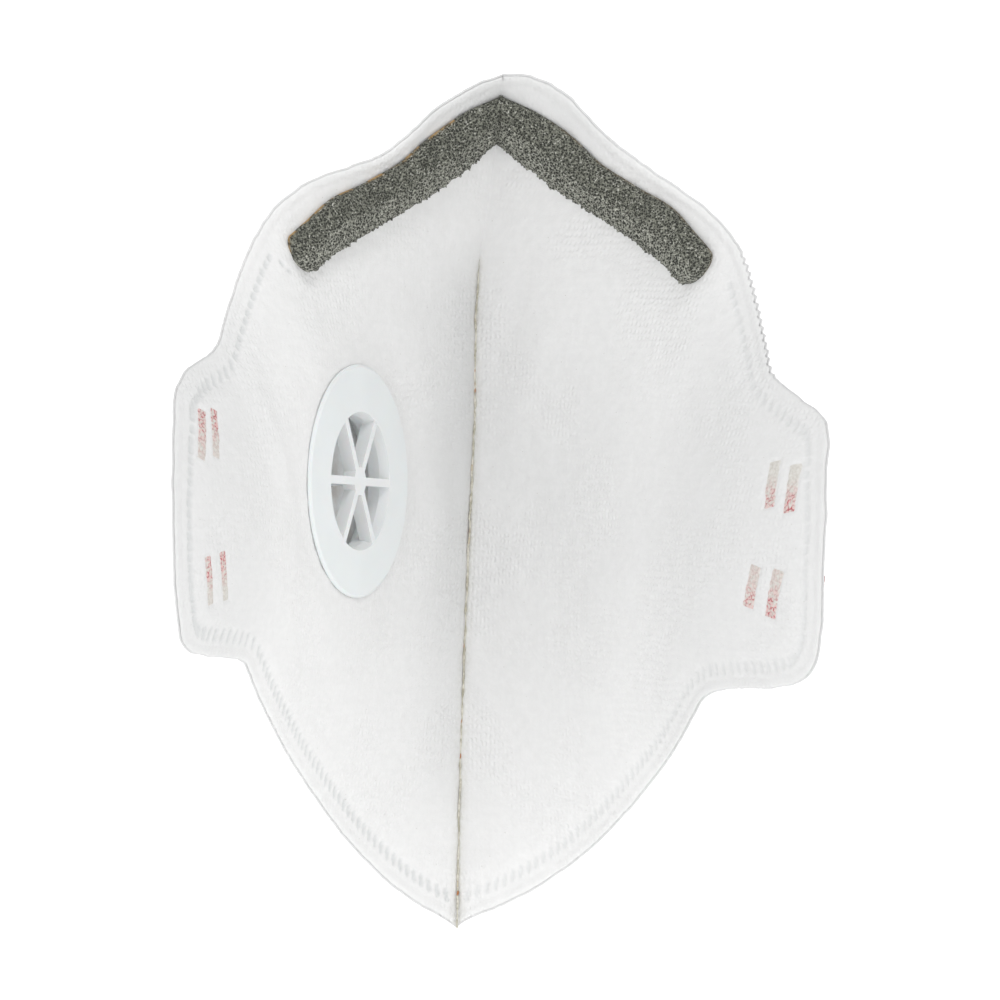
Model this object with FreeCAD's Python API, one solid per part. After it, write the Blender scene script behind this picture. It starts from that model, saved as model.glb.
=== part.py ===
import FreeCAD, Part
import math
import os

# Disposable vertical-fold dust mask with an exhalation valve, opened into a V.
# Millimetres. +Z up (nose), +X the wearer's right, +Y forward (front ridge).
# Each half is one flat pattern.  A point on it is (s, z): s is the distance
# back from the ridge along the cloth and z is the height.  d is the distance
# outward from the inner face of the lining.

# ---------------------------------------------------------------- panel shape
RIDGE_Y = 42.0            # foremost point of the ridge
NOSE_SETBACK = 36.5       # how far the ridge runs back at the nose
CHIN_SETBACK = 21.5       # and at the chin
RIDGE_HALF = 78.0         # height over which those set-backs are reached
RIDGE_POWER = 2.2

ANGLE_RIDGE = 48.0        # panel angle from the mid plane at the ridge, degrees
ANGLE_FALL = 86.5         # how fast the angle falls behind the ridge
ANGLE_FLARE = 81.5        # and how fast it flares again toward the tab
ANGLE_HEIGHT = 75.0       # height over which the three terms below act
RIDGE_TILT = -2.5
RIDGE_OPEN = 9.6
FALL_TILT = 30.0
FALL_OPEN = 44.5

GRID_S = (-6.0, 124.0, 21)
GRID_Z = (-92.0, 90.0, 23)

# ------------------------------------------------------- flat pattern, (s, z)
NOSE_EDGE = [(-6.0, 76.9), (0.0, 76.8), (6.5, 75.2), (15.3, 70.9), (21.3, 66.7),
             (28.5, 62.4), (39.0, 58.5), (49.5, 53.8), (57.8, 48.2), (63.4, 43.6),
             (68.0, 39.0), (72.0, 34.5), (75.5, 30.3), (78.6, 26.8), (82.0, 24.0)]
TAB_EDGE = [(82.0, 24.0), (88.5, 20.4), (94.0, 17.3), (97.4, 14.6), (99.2, 11.2),
            (101.0, 6.8), (102.7, 2.6), (104.0, -1.6), (104.9, -6.0), (105.4, -10.5),
            (105.4, -15.0), (104.9, -19.5), (103.8, -23.6), (101.4, -27.4),
            (97.5, -29.9), (92.0, -30.8), (85.5, -31.1), (79.8, -31.5),
            (76.6, -33.0)]
CHIN_EDGE = [(76.6, -33.0), (70.8, -37.8), (64.3, -42.3), (57.4, -46.9),
             (50.2, -51.4), (43.0, -56.0), (35.8, -60.6), (28.9, -64.9),
             (21.8, -69.0), (13.4, -73.2), (5.0, -76.9), (-6.0, -81.0)]

NOSE_STOPS, TAB_STOPS, CHIN_STOPS = 19, 31, 17   # points taken along each edge

# ------------------------------------------------------------ laminate layers
LAYER_GAP = 0.10
LAYERS = [("inner_lining", 0.25),
          ("filter_inner", 0.30),
          ("filter_outer", 0.30),
          ("support_layer", 0.60),
          ("outer_cover", 0.30)]
LAMINATE = sum(t for name, t in LAYERS) + LAYER_GAP * (len(LAYERS) - 1)

EDGE_BAND = 3.4           # fused border all round the pattern
EDGE_INNER = 0.55         # the border is pressed thinner than the laminate
EDGE_OUTER = 1.45
SEAM_WING = 4.6           # fused cloth each side of the ridge
SEAM_INNER = 0.10
SEAM_OUTER = 1.60
SEAM_FIN = 3.6            # trimmed weld fin standing out in front
SEAM_FIN_THICK = 1.2
SEAM_FIN_TOP = 47.0       # above this the cloth is only folded

# -------------------------------------------------------------- nose fittings
NOSE_LINE = [(-6.0, 72.6), (0.0, 69.4), (6.0, 66.2), (12.5, 62.8), (19.0, 59.3),
             (25.5, 56.0), (33.5, 52.2), (41.5, 48.3), (48.0, 44.8), (53.5, 41.5)]
FOAM_WIDTH = 6.4
FOAM_THICK = 3.0
CLIP_WIDTH = 5.0
CLIP_THICK = 0.9
CLIP_POINTS = 8           # the clip ends this many points along the nose line

# ------------------------------------------------------------------ headbands
BAND_WIDTH = 6.8
BAND_THICK = 0.8
BAND_GAP = 0.2
# side: cut ends of the upper and the lower strap, distance from the ridge
BAND_END = {-1: (96.5, 97.6), 1: (98.8, 103.2)}
BAND_STEPS = 2
WELD_WIDTH = 2.0
WELD_HEIGHT = 8.8
WELD_OUTER_S = 95.2
# side: (pitch of a pair, upper height, lower height)
WELDS = {-1: (3.8, 8.4, -15.9), 1: (5.8, 4.3, -13.5)}

# ---------------------------------------------------------------------- valve
VALVE_S, VALVE_Z = 39.4, 2.2
VALVE_R = 21.0
VALVE_FLAT = (22.5, 34.0)  # cloth held flat inside, free outside
VALVE_HOLE_R = 13.85
PORT_R = 12.5
PORT_DRAFT = 0.6
BARREL_R = 13.6
FLANGE_THICK = 0.75
FLANGE_GAP = 0.15
BARREL_END = 3.2
SPOKES = 6
SPOKE_WIDTH = 1.45
SPOKE_FROM, SPOKE_TO = -0.65, 1.75
HUB_R = 2.5
PIN_R = 0.9
PIN_FROM = 0.3             # blind hole in the hub
PIN_HEAD_R = 1.7
PIN_HEAD = (7.7, 8.3)
SEAT_R = (13.7, 14.5)
SEAT_TOP = 5.2
BODY_BASE = 1.1
DISC_R = 15.4
DISC_THICK = 0.45
COVER_R = 20.4
COVER_WALL = 1.1
COVER_TOP = 10.6
COVER_SLOTS = 10
SLOT_HALF = 7.0           # degrees each side of a slot's centre


def ridge_y(z):
    back = NOSE_SETBACK if z > 0.0 else CHIN_SETBACK
    return RIDGE_Y - back * (abs(z) / RIDGE_HALF) ** RIDGE_POWER


def panel_angle(s, z):
    t = z / ANGLE_HEIGHT
    start = ANGLE_RIDGE + RIDGE_TILT * t + RIDGE_OPEN * t * t
    fall = -ANGLE_FALL + FALL_TILT * t + FALL_OPEN * t * t
    u = max(s, 0.0) / 100.0
    return math.radians(start + fall * u + ANGLE_FLARE * u * u)


def bent(side, s, z):
    """Point of the inner face, before the cloth is held flat at the valve."""
    steps = 24
    x = 0.0
    w = 0.0
    for i in range(steps):
        angle = panel_angle(s * (i + 0.5) / steps, z)
        x += math.sin(angle) * s / steps
        w += math.cos(angle) * s / steps
    return FreeCAD.Vector(side * x, ridge_y(z) - w, z)


def normal_of(place, side, s, z):
    """Unit vector out of the mask, away from the wearer."""
    along = place(side, s + 0.5, z) - place(side, s - 0.5, z)
    up = place(side, s, z + 0.5) - place(side, s, z - 0.5)
    out = up.cross(along) if side > 0 else along.cross(up)
    out.normalize()
    return out


VALVE_POINT = bent(-1, VALVE_S, VALVE_Z)
VALVE_OUT = normal_of(bent, -1, VALVE_S, VALVE_Z)


def inner_face(side, s, z):
    """Point of the inner face of the lining."""
    p = bent(side, s, z)
    if side > 0:
        return p
    r = math.hypot(s - VALVE_S, z - VALVE_Z)
    u = min(max((VALVE_FLAT[1] - r) / (VALVE_FLAT[1] - VALVE_FLAT[0]), 0.0), 1.0)
    hold = u * u * (3.0 - 2.0 * u)
    height = (p - VALVE_POINT).dot(VALVE_OUT)
    return p - VALVE_OUT * (height * hold)


def at(side, s, z, d=0.0):
    return inner_face(side, s, z) + normal_of(inner_face, side, s, z) * d


def spread(limits):
    first, last, count = limits
    return [first + (last - first) * i / (count - 1.0) for i in range(count)]


def sheet(side, d):
    """B-spline face at distance d from the inner face."""
    rows = [[at(side, s, z, d) for z in spread(GRID_Z)] for s in spread(GRID_S)]
    surface = Part.BSplineSurface()
    surface.interpolate(rows)
    return surface.toShape()


def slab(side, low, high):
    """Closed solid between two offsets of the inner face."""
    near = sheet(side, low)
    far = sheet(side, high)
    faces = [near, far]
    for a, b in zip(near.Edges, far.Edges):
        faces.append(Part.makeRuledSurface(a, b))
    shell = Part.makeShell(faces)
    shell.sewShape()
    solid = Part.makeSolid(shell)
    if solid.Volume < 0:
        solid.reverse()
    return solid


def pattern_edge(points, count):
    """Evenly spaced (s, z) points along a smooth curve."""
    curve = Part.BSplineCurve()
    curve.interpolate([FreeCAD.Vector(s, z, 0) for s, z in points])
    return [(p.x, p.y) for p in curve.discretize(count)]


def pattern_outline(inset=0.0):
    """The half's cut edge from nose to chin, moved inward by inset."""
    path = pattern_edge(NOSE_EDGE, NOSE_STOPS)
    path += pattern_edge(TAB_EDGE, TAB_STOPS)[1:]
    path += pattern_edge(CHIN_EDGE, CHIN_STOPS)[1:]
    moved = []
    for i, (s, z) in enumerate(path):
        s0, z0 = path[max(i - 1, 0)]
        s1, z1 = path[min(i + 1, len(path) - 1)]
        length = math.hypot(s1 - s0, z1 - z0)
        moved.append((s + inset * (z1 - z0) / length, z - inset * (s1 - s0) / length))
    return moved


def side_view(points):
    """Pattern points seen from the side, on the mid plane."""
    flat = []
    for s, z in points:
        p = bent(-1, s, z)
        flat.append(FreeCAD.Vector(0, p.y, p.z))
    return flat


def smooth(points):
    curve = Part.BSplineCurve()
    curve.interpolate(points)
    return curve.toShape()


def chain(points, breaks, lean=None):
    """Smooth edges through the points, split at breaks with shared tangents."""
    lean = lean or [heading(points, i) for i in range(len(points))]
    stops = [0] + list(breaks) + [len(points) - 1]
    edges = []
    for first, last in zip(stops, stops[1:]):
        curve = Part.BSplineCurve()
        run = points[first:last + 1]
        curve.interpolate(Points=run, InitialTangent=lean[first],
                          FinalTangent=lean[last])
        edges.append(curve.toShape())
    return edges


def heading(points, i):
    step = points[min(i + 1, len(points) - 1)] - points[max(i - 1, 0)]
    step.normalize()
    return step


def half_face(inset=0.0):
    """Everything between the cut edge and the front of the mask."""
    points = side_view(pattern_outline(inset))
    front = RIDGE_Y + 20.0
    top = FreeCAD.Vector(0, front, points[0].z)
    low = FreeCAD.Vector(0, front, points[-1].z)
    lines = Part.makePolygon([points[-1], low, top, points[0]]).Edges
    tab = NOSE_STOPS - 1
    chin = tab + TAB_STOPS - 1
    breaks = [tab // 2, tab, tab + 6, tab + 14, tab + 21, chin, chin + CHIN_STOPS // 2]
    return Part.Face(Part.Wire(chain(points, breaks) + lines))


def behind(s):
    """Everything at least s behind the ridge."""
    points = side_view([(s, z) for z in spread((-96.0, 96.0, 25))])
    low = FreeCAD.Vector(0, -90, -96)
    top = FreeCAD.Vector(0, -90, 96)
    lines = Part.makePolygon([points[-1], top, low, points[0]]).Edges
    return Part.Face(Part.Wire([smooth(points)] + lines))


def ribbon(line, width):
    """Band of the given width about a line on the pattern."""
    one = []
    two = []
    for i, (s, z) in enumerate(line):
        s0, z0 = line[max(i - 1, 0)]
        s1, z1 = line[min(i + 1, len(line) - 1)]
        length = math.hypot(s1 - s0, z1 - z0)
        ds = -(z1 - z0) / length * width / 2.0
        dz = (s1 - s0) / length * width / 2.0
        one.append((s + ds, z + dz))
        two.append((s - ds, z - dz))
    upper = side_view(one)
    lower = side_view(two)
    ends = [Part.makeLine(upper[-1], lower[-1]), Part.makeLine(lower[0], upper[0])]
    edges = [smooth(upper), ends[0], smooth(lower), ends[1]]
    return Part.Face(Part.Wire(Part.__sortEdges__(edges)))


def across(face, side, depth=90.0):
    return face.extrude(FreeCAD.Vector(side * depth, 0, 0))


def local_frame(side, s, z, d=0.0):
    """Local x back along the cloth, y up, z out of the mask."""
    out = normal_of(inner_face, side, s, z)
    back = inner_face(side, s + 0.5, z) - inner_face(side, s - 0.5, z)
    back = back - out * back.dot(out)
    back.normalize()
    up = out.cross(back)
    if up.z < 0:
        up = up * -1
        back = back * -1
    turn = FreeCAD.Rotation(back, up, out, "ZXY")
    return FreeCAD.Placement(at(side, s, z, d), turn)


def placed(shape, frame):
    copy = shape.copy()
    copy.Placement = frame
    return copy


def weld_bars(side, clear, low, high):
    """The four bars that fix both straps to one tab."""
    pitch, upper, lower = WELDS[side]
    bars = []
    for z in (upper, lower):
        for s in (WELD_OUTER_S, WELD_OUTER_S - pitch):
            width = WELD_WIDTH + 2 * clear
            height = WELD_HEIGHT + 2 * clear
            corner = FreeCAD.Vector(-width / 2, -height / 2, low)
            bar = Part.makeBox(width, height, high - low, corner)
            bar = bar.makeFillet(0.45, [e for e in bar.Edges if vertical(e)])
            bars.append(placed(bar, local_frame(side, s, z)))
    return bars


def vertical(edge):
    a, b = edge.Vertexes[0].Point, edge.Vertexes[1].Point
    return abs(a.z - b.z) > 0.5 * edge.Length


def turned(profile):
    """Solid of revolution about local z from (radius, height) points."""
    points = [FreeCAD.Vector(r, 0, z) for r, z in profile]
    face = Part.Face(Part.makePolygon(points + points[:1]))
    return face.revolve(FreeCAD.Vector(0, 0, 0), FreeCAD.Vector(0, 0, 1), 360)


def save(name, shape):
    shape = shape.removeSplitter()
    solids = shape.Solids
    shape = solids[0] if len(solids) == 1 else Part.makeCompound(solids)
    shape.exportStep("parts/" + name + ".step")
    print(name, len(solids), round(shape.Volume, 1), shape.isValid())


# ------------------------------------------------------------- the two halves
body_face = half_face(EDGE_BAND + LAYER_GAP).common(behind(SEAM_WING + LAYER_GAP))
rim_face = half_face().common(behind(SEAM_WING + LAYER_GAP))
inside_face = half_face(EDGE_BAND)
valve_frame = local_frame(-1, VALVE_S, VALVE_Z)
valve_hole = placed(Part.makeCylinder(VALVE_HOLE_R, 20, FreeCAD.Vector(0, 0, -10)), valve_frame)
names = {-1: "left", 1: "right"}

for side in (-1, 1):
    panel = across(body_face, side)
    tools = weld_bars(side, 0.05, -1.0, LAMINATE + 1.0)
    if side < 0:
        tools.append(valve_hole)
    depth = 0.0
    for name, thick in LAYERS:
        layer = slab(side, depth, depth + thick).common(panel)
        save(names[side] + "_" + name, layer.cut(Part.makeCompound(tools)))
        depth += thick + LAYER_GAP
    rim = slab(side, EDGE_INNER, EDGE_OUTER).common(across(rim_face, side))
    rim = rim.cut(across(inside_face, side))
    save(names[side] + "_edge_weld", rim)
    bars = Part.makeCompound(weld_bars(side, 0.0, 0.35, LAMINATE - 0.1))
    save(names[side] + "_headband_welds", bars)

# ------------------------------------------------------------- seam and fold
def both_sides(low, high, face):
    """One bent strip across the ridge, the same on both halves."""
    half = slab(1, low, high).common(across(face, 1))
    other = half.mirror(FreeCAD.Vector(0, 0, 0), FreeCAD.Vector(1, 0, 0))
    return half.fuse(other)


wing_face = half_face().cut(behind(SEAM_WING))
wings = both_sides(SEAM_INNER, SEAM_OUTER, wing_face)
heights = [h for h in spread((-90.0, SEAM_FIN_TOP, 22))]
back_line = [FreeCAD.Vector(0, ridge_y(h) + 1.2, h) for h in heights]
reach = SEAM_OUTER / math.sin(math.radians(ANGLE_RIDGE)) + SEAM_FIN
front_line = [FreeCAD.Vector(0, ridge_y(h) + reach, h) for h in heights]
top_line = Part.makeLine(back_line[-1], front_line[-1])
low_line = Part.makeLine(front_line[0], back_line[0])
fin_edges = [smooth(back_line), top_line, smooth(front_line), low_line]
fin_face = Part.Face(Part.Wire(Part.__sortEdges__(fin_edges))).common(half_face())
fin_face.translate(FreeCAD.Vector(-SEAM_FIN_THICK / 2, 0, 0))
fin = fin_face.extrude(FreeCAD.Vector(SEAM_FIN_THICK, 0, 0))
save("centre_seam", wings.fuse(fin))

# -------------------------------------------------------------- nose fittings
foam_face = ribbon(NOSE_LINE, FOAM_WIDTH)
save("nose_foam", both_sides(-FOAM_THICK, -0.1, foam_face))

clip_face = ribbon(NOSE_LINE[:CLIP_POINTS], CLIP_WIDTH)
clip_low = LAMINATE + LAYER_GAP
save("nose_clip", both_sides(clip_low, clip_low + CLIP_THICK, clip_face))

# ---------------------------------------------------------------------- valve
flange = turned([(PORT_R, -FLANGE_THICK), (VALVE_R - 0.5, -FLANGE_THICK),
                 (VALVE_R, -FLANGE_THICK + 0.35), (VALVE_R, -FLANGE_GAP),
                 (BARREL_R, -FLANGE_GAP), (BARREL_R, BARREL_END),
                 (PORT_R - PORT_DRAFT, BARREL_END), (PORT_R - PORT_DRAFT, 1.0)])
spider = Part.makeCylinder(HUB_R, SPOKE_TO - SPOKE_FROM, FreeCAD.Vector(0, 0, SPOKE_FROM))
for i in range(SPOKES):
    corner = FreeCAD.Vector(0, -SPOKE_WIDTH / 2, SPOKE_FROM)
    arm = Part.makeBox(PORT_R + 0.2, SPOKE_WIDTH, SPOKE_TO - SPOKE_FROM, corner)
    arm.rotate(FreeCAD.Vector(0, 0, 0), FreeCAD.Vector(0, 0, 1), 360.0 / SPOKES * i)
    spider = spider.fuse(arm)
pin_bore = Part.makeCylinder(PIN_R + 0.05, 6, FreeCAD.Vector(0, 0, PIN_FROM - 0.05))
save("valve_inner_flange", placed(flange.fuse(spider).cut(pin_bore), valve_frame))

base_low = LAMINATE + LAYER_GAP + 0.1
seat = turned([(SEAT_R[0], base_low), (VALVE_R, base_low),
               (VALVE_R, base_low + BODY_BASE), (SEAT_R[1], base_low + BODY_BASE),
               (SEAT_R[1], SEAT_TOP), (SEAT_R[0], SEAT_TOP)])
save("valve_body", placed(seat, valve_frame))

disc_low = SEAT_TOP + 0.05
disc = Part.makeCylinder(DISC_R, DISC_THICK, FreeCAD.Vector(0, 0, disc_low))
disc = disc.cut(Part.makeCylinder(PIN_R + 0.3, 4, FreeCAD.Vector(0, 0, disc_low - 1)))
save("valve_diaphragm", placed(disc, valve_frame))

pin = turned([(0, PIN_FROM), (PIN_R, PIN_FROM), (PIN_R, PIN_HEAD[0]), (PIN_HEAD_R, PIN_HEAD[0]),
              (PIN_HEAD_R, PIN_HEAD[0] + 0.3), (PIN_R, PIN_HEAD[1]), (0, PIN_HEAD[1])])
save("valve_pin", placed(pin, valve_frame))

cover_low = base_low + BODY_BASE + 0.05
inside_r = COVER_R - COVER_WALL
cover = turned([(inside_r, cover_low), (COVER_R, cover_low), (COVER_R, COVER_TOP - 2.2),
                (COVER_R - 0.8, COVER_TOP - 0.9), (COVER_R - 2.4, COVER_TOP - 0.3),
                (0, COVER_TOP), (0, COVER_TOP - COVER_WALL),
                (inside_r - 1.2, COVER_TOP - COVER_WALL - 0.3),
                (inside_r, COVER_TOP - COVER_WALL - 1.6)])
slots = []
for i in range(COVER_SLOTS):
    width = 2 * COVER_R * math.sin(math.radians(SLOT_HALF))
    corner = FreeCAD.Vector(inside_r - 2, -width / 2, cover_low + 1.2)
    slot = Part.makeBox(6, width, 3.4, corner)
    slot.rotate(FreeCAD.Vector(0, 0, 0), FreeCAD.Vector(0, 0, 1), 360.0 / COVER_SLOTS * (i + 0.5))
    slots.append(slot)
for x in (-9.0, -4.5, 0.0, 4.5, 9.0):
    half = math.sqrt(14.0 ** 2 - x * x)
    slots.append(Part.makeBox(1.6, 2 * half, 4, FreeCAD.Vector(x - 0.8, -half, COVER_TOP - 3)))
save("valve_cover", placed(cover.cut(Part.makeCompound(slots)), valve_frame))

# ------------------------------------------------------------------ headbands
def strap_profile(side, end):
    """Middle of the strap on one side as (distance from ridge, distance from inner face)."""
    lie = LAMINATE + BAND_GAP + BAND_THICK / 2.0
    run = [(end, lie), (93.0, lie), (87.0, lie + 0.2)]
    if side < 0:
        run += [(80.0, lie + 1.4), (71.0, lie + 4.2), (VALVE_S + 23.0, COVER_TOP - 0.6),
                (VALVE_S + 18.0, COVER_TOP + 1.1), (VALVE_S + 6.0, COVER_TOP + 1.4),
                (VALVE_S - 6.0, COVER_TOP + 1.4), (VALVE_S - 17.0, COVER_TOP + 1.1),
                (VALVE_S - 23.0, COVER_TOP - 1.4)]
    else:
        run += [(78.0, lie + 0.7), (66.0, lie + 0.9), (54.0, lie + 0.8),
                (42.0, lie + 0.5), (30.0, lie + 0.6), (18.0, lie + 1.0), (10.0, lie + 1.9)]
    curve = Part.BSplineCurve()
    curve.interpolate([FreeCAD.Vector(s, d, 0) for s, d in run])
    knots = [curve.parameter(FreeCAD.Vector(s, d, 0)) for s, d in run]
    middle = []
    for start, stop in zip(knots, knots[1:]):
        for i in range(BAND_STEPS):
            t = start + (stop - start) * i / BAND_STEPS
            middle.append((curve.value(t), curve.tangent(t)[0]))
    middle.append((curve.value(knots[-1]), curve.tangent(knots[-1])[0]))
    return middle


def skinned(sections):
    """Closed solid through a row of four-cornered sections."""
    faces = []
    for a, b in zip(sections, sections[1:]):
        for i in range(4):
            j = (i + 1) % 4
            faces.append(Part.makeRuledSurface(Part.makeLine(a[i], a[j]),
                                               Part.makeLine(b[i], b[j])))
    for c in (sections[0], sections[-1]):
        faces.append(Part.makeRuledSurface(Part.makeLine(c[0], c[1]),
                                           Part.makeLine(c[3], c[2])))
    shell = Part.makeShell(faces)
    shell.sewShape()
    solid = Part.makeSolid(shell)
    if solid.Volume < 0:
        solid.reverse()
    return solid


def strap(heights, cut_ends):
    """One flat strap from tab to tab round the front of the mask."""
    centre = sum(heights) / 2.0
    sections = []
    middles = []
    for side, height, end in zip((-1, 1), heights, cut_ends):
        half = []
        for point, along in strap_profile(side, end):
            share = min(max(point.x, 0.0) / 80.0, 1.0)
            z = centre + (height - centre) * share
            step = FreeCAD.Vector(-along.y, along.x, 0) * (BAND_THICK / 2.0)
            over = point + step
            under = point - step
            low = z - BAND_WIDTH / 2.0
            high = z + BAND_WIDTH / 2.0
            corners = [at(side, over.x, low, over.y), at(side, over.x, high, over.y),
                       at(side, under.x, high, under.y), at(side, under.x, low, under.y)]
            half.append(corners)
            middles.append(at(side, point.x, z, point.y))
        if side < 0:
            sections += half
            front = ridge_y(centre) + reach_front()
            low = centre - BAND_WIDTH / 2.0
            high = centre + BAND_WIDTH / 2.0
            back = front - BAND_THICK
            sections.append([FreeCAD.Vector(0, back, low), FreeCAD.Vector(0, back, high),
                             FreeCAD.Vector(0, front, high), FreeCAD.Vector(0, front, low)])
            turns = len(half)
        else:
            sections += half[::-1]
    solid = skinned(sections)
    left = middles[:turns]
    right = middles[turns:]
    bridge = FreeCAD.Vector(0, front - BAND_THICK / 2.0, centre)
    path = left + [bridge] + right[::-1]
    print("strap length", round(sum((q - p).Length for p, q in zip(path, path[1:])), 1))
    return solid


def reach_front():
    return SEAM_OUTER / math.sin(math.radians(ANGLE_RIDGE)) + SEAM_FIN + BAND_THICK + 0.9


save("upper_headband", strap((WELDS[-1][1], WELDS[1][1]), (BAND_END[-1][0], BAND_END[1][0])))
save("lower_headband", strap((WELDS[-1][2], WELDS[1][2]), (BAND_END[-1][1], BAND_END[1][1])))
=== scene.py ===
import math
import bpy
import numpy as np
from mathutils import Matrix, Vector
from mathutils.geometry import delaunay_2d_cdt
from mathutils.kdtree import KDTree


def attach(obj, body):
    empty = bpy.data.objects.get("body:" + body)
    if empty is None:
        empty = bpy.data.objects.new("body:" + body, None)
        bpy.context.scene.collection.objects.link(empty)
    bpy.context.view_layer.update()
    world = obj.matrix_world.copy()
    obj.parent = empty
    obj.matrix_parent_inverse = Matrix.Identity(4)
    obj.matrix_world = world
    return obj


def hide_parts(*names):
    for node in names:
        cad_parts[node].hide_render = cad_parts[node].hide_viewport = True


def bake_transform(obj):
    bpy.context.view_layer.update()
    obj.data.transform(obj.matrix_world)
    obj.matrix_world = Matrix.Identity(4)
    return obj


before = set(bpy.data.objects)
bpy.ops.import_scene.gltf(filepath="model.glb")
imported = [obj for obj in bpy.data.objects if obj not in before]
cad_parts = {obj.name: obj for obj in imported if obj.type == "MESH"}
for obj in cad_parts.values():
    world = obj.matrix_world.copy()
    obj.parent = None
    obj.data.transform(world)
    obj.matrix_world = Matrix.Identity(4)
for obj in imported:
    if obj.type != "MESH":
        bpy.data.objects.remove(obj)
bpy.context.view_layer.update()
MM = 0.001

# ------------------------------------------- shape of a half, in millimetres
RIDGE_Y, NOSE_SETBACK, CHIN_SETBACK = 42.0, 36.5, 21.5
RIDGE_HALF, RIDGE_POWER = 78.0, 2.2
ANGLE_RIDGE, ANGLE_FALL, ANGLE_FLARE = 48.0, -86.5, 81.5   # degrees from the mid plane
ANGLE_HEIGHT = 75.0                                        # height of the next four
RIDGE_TILT, RIDGE_OPEN = -2.5, 9.6
FALL_TILT, FALL_OPEN = 30.0, 44.5
SWAY, SWAY_Z = -1.25, 40.0      # the ridge wanders sideways below the nose
SWAY_HEIGHT, SWAY_DEPTH = 17.0, 24.0
LAMINATE = 2.15                 # inner face of the lining to the cover
VALVE_S, VALVE_Z = 39.4, 2.2
VALVE_FLAT = (22.5, 34.0)       # cloth held flat inside, free outside
VALVE_HOLE_R = 14.2
COVER_TOP = 10.6
SEAM_TOP = 47.0                 # above this the cloth is only folded

OUTLINES = {
    "left": [(-2.0, 77.0), (0.0, 76.9), (5.1, 75.1), (14.2, 70.2), (19.9, 65.9),
             (27.2, 61.3), (36.0, 58.3), (45.6, 55.2), (54.9, 50.4), (60.8, 45.8),
             (65.6, 41.4), (70.0, 37.0), (74.2, 32.6), (78.4, 28.2), (82.8, 23.9),
             (91.2, 20.2), (96.6, 15.9), (99.2, 11.2), (101.4, 6.8), (104.2, -1.2),
             (105.4, -9.2), (104.9, -17.1), (102.9, -23.1), (100.2, -27.6),
             (95.5, -29.7), (86.0, -30.3), (80.0, -31.0), (76.4, -33.2),
             (70.3, -37.5), (55.8, -46.3), (40.6, -55.2), (27.2, -63.8),
             (14.0, -71.8), (3.3, -77.0), (0.0, -78.9), (-2.0, -80.0)],
    "right": [(-2.0, 76.8), (0.0, 76.9), (3.2, 77.0), (6.5, 76.4), (10.5, 75.0),
              (14.7, 72.9), (18.2, 70.4), (22.7, 67.3),
              (30.0, 63.1), (47.8, 54.7), (55.1, 50.4), (60.6, 46.1), (68.3, 37.6),
              (75.5, 29.1), (79.6, 24.6), (87.8, 20.7), (94.8, 17.4), (98.1, 13.4),
              (100.2, 8.3), (103.5, 0.1), (105.2, -8.0), (105.9, -16.0),
              (105.4, -20.5), (103.8, -25.4), (99.6, -29.2), (92.0, -30.9),
              (85.0, -31.4), (78.5, -31.9), (73.8, -32.9), (69.6, -35.2),
              (60.0, -42.9), (46.4, -52.2), (32.1, -61.7), (23.9, -66.6),
              (14.2, -71.8), (2.9, -76.9), (0.0, -78.9), (-2.0, -80.0)],
}
CLIP_LINE = [(-2.0, 70.4), (0.0, 69.4), (6.0, 66.2), (12.5, 62.8), (19.0, 59.3),
             (25.5, 56.0), (33.5, 52.2), (41.5, 48.3)]
FOAM_LINES = {
    "left": [(-2.0, 70.2), (0.0, 69.2), (6.0, 66.2), (12.0, 62.6), (20.0, 57.6),
             (30.0, 52.7), (38.0, 49.3), (44.0, 46.4), (50.0, 43.0), (54.6, 40.4)],
    "right": [(-2.0, 70.2), (0.0, 69.2), (6.0, 66.8), (12.0, 64.0), (20.0, 59.4),
              (30.0, 54.7), (38.0, 51.2), (44.0, 48.0), (50.0, 44.3), (54.0, 41.4)],
}
OUTLINE_INSET = 1.0             # the cut edge lies this far inside the outline
SIDES = {"left": -1, "right": 1}


def smoothstep(a, b, x):
    u = np.clip((np.asarray(x, float) - a) / (b - a), 0, 1)
    return u * u * (3 - 2 * u)


def ridge_y(z):
    back = np.where(z > 0, NOSE_SETBACK, CHIN_SETBACK)
    return RIDGE_Y - back * (np.abs(z) / RIDGE_HALF) ** RIDGE_POWER


def angle(s, z):
    """Angle of the cloth from the mid plane, s back from the ridge at height z."""
    t = z / ANGLE_HEIGHT
    u = np.maximum(s, 0.0) / 100.0
    start = ANGLE_RIDGE + RIDGE_TILT * t + RIDGE_OPEN * t * t
    fall = ANGLE_FALL + FALL_TILT * t + FALL_OPEN * t * t
    return np.radians(start + fall * u + ANGLE_FLARE * u * u)


def bent(side, s, z):
    """Point s back from the ridge, before the valve's flat patch and the sway."""
    steps = 24
    x = np.zeros_like(s)
    w = np.zeros_like(s)
    for i in range(steps):
        a = angle(s * (i + 0.5) / steps, z)
        x = x + np.sin(a) * s / steps
        w = w + np.cos(a) * s / steps
    return np.stack([side * x, ridge_y(z) - w, z], -1)


def normals(place, side, s, z):
    """Unit normals away from the wearer, from points a little way off."""
    h = 0.4
    along = place(side, s + h, z) - place(side, s - h, z)
    up = place(side, s, z + h) - place(side, s, z - h)
    out = np.cross(up, along) if side > 0 else np.cross(along, up)
    return out / np.linalg.norm(out, axis=-1, keepdims=True)


VALVE_POINT = bent(-1, np.array([VALVE_S]), np.array([VALVE_Z]))[0]
VALVE_OUT = normals(bent, -1, np.array([VALVE_S]), np.array([VALVE_Z]))[0]


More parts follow.
